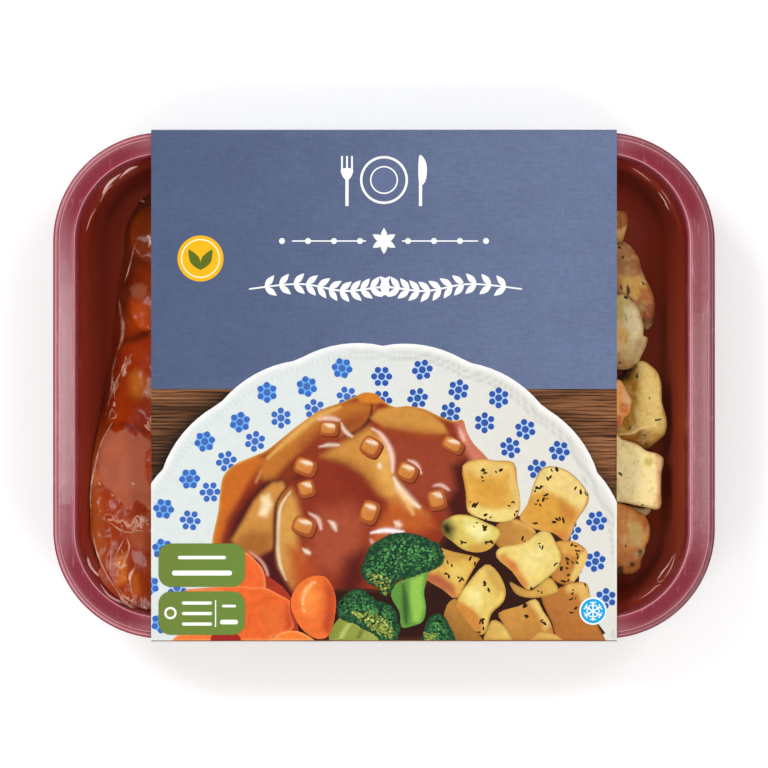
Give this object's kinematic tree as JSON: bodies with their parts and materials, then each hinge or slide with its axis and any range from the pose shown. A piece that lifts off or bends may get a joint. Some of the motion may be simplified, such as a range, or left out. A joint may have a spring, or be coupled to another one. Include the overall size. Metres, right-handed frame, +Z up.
{
  "type": "chilled ready meal pack",
  "caption": "Sealed rectangular food tray with a wide rounded rim, clear lidding film, roast pork in gravy, roast potato pieces and a printed card sleeve round the middle.",
  "frame": {"origin": "middle of the sleeve's underside, on the surface that the pack lies on", "axes": "+Z up through the film; +X along the tray's long side, towards the potato end; +Y across the tray, the way the sleeve is wrapped"},
  "size_m": [0.221, 0.1706, 0.0402],
  "materials": {
    "printed_card": "printed white board with a soft sheen",
    "tray_plastic": "thermoformed burgundy plastic, glossy",
    "clear_film": "clear glossy film",
    "gravy": "wet and glossy",
    "roast_pork": "moist, coated in gravy",
    "roast_potato": "soft and slightly oily, browned at the edges"
  },
  "bodies": {
    "root": {"card_sleeve": "printed_card", "tray": "tray_plastic", "lidding_film": "clear_film", "gravy": "gravy", "pork_slice_1": "roast_pork", "pork_slice_2": "roast_pork", "pork_slice_3": "roast_pork", "potato_1": "roast_potato", "potato_2": "roast_potato", "potato_3": "roast_potato", "potato_4": "roast_potato", "potato_5": "roast_potato", "potato_6": "roast_potato", "potato_7": "roast_potato", "potato_under_sleeve_1": "roast_potato", "potato_under_sleeve_2": "roast_potato", "potato_under_sleeve_3": "roast_potato", "potato_under_sleeve_4": "roast_potato", "potato_under_sleeve_5": "roast_potato", "potato_under_sleeve_6": "roast_potato", "potato_under_sleeve_7": "roast_potato", "potato_under_sleeve_8": "roast_potato", "potato_under_sleeve_9": "roast_potato", "potato_under_sleeve_10": "roast_potato", "potato_under_sleeve_11": "roast_potato", "potato_under_sleeve_12": "roast_potato"}
  },
  "joints": []
}
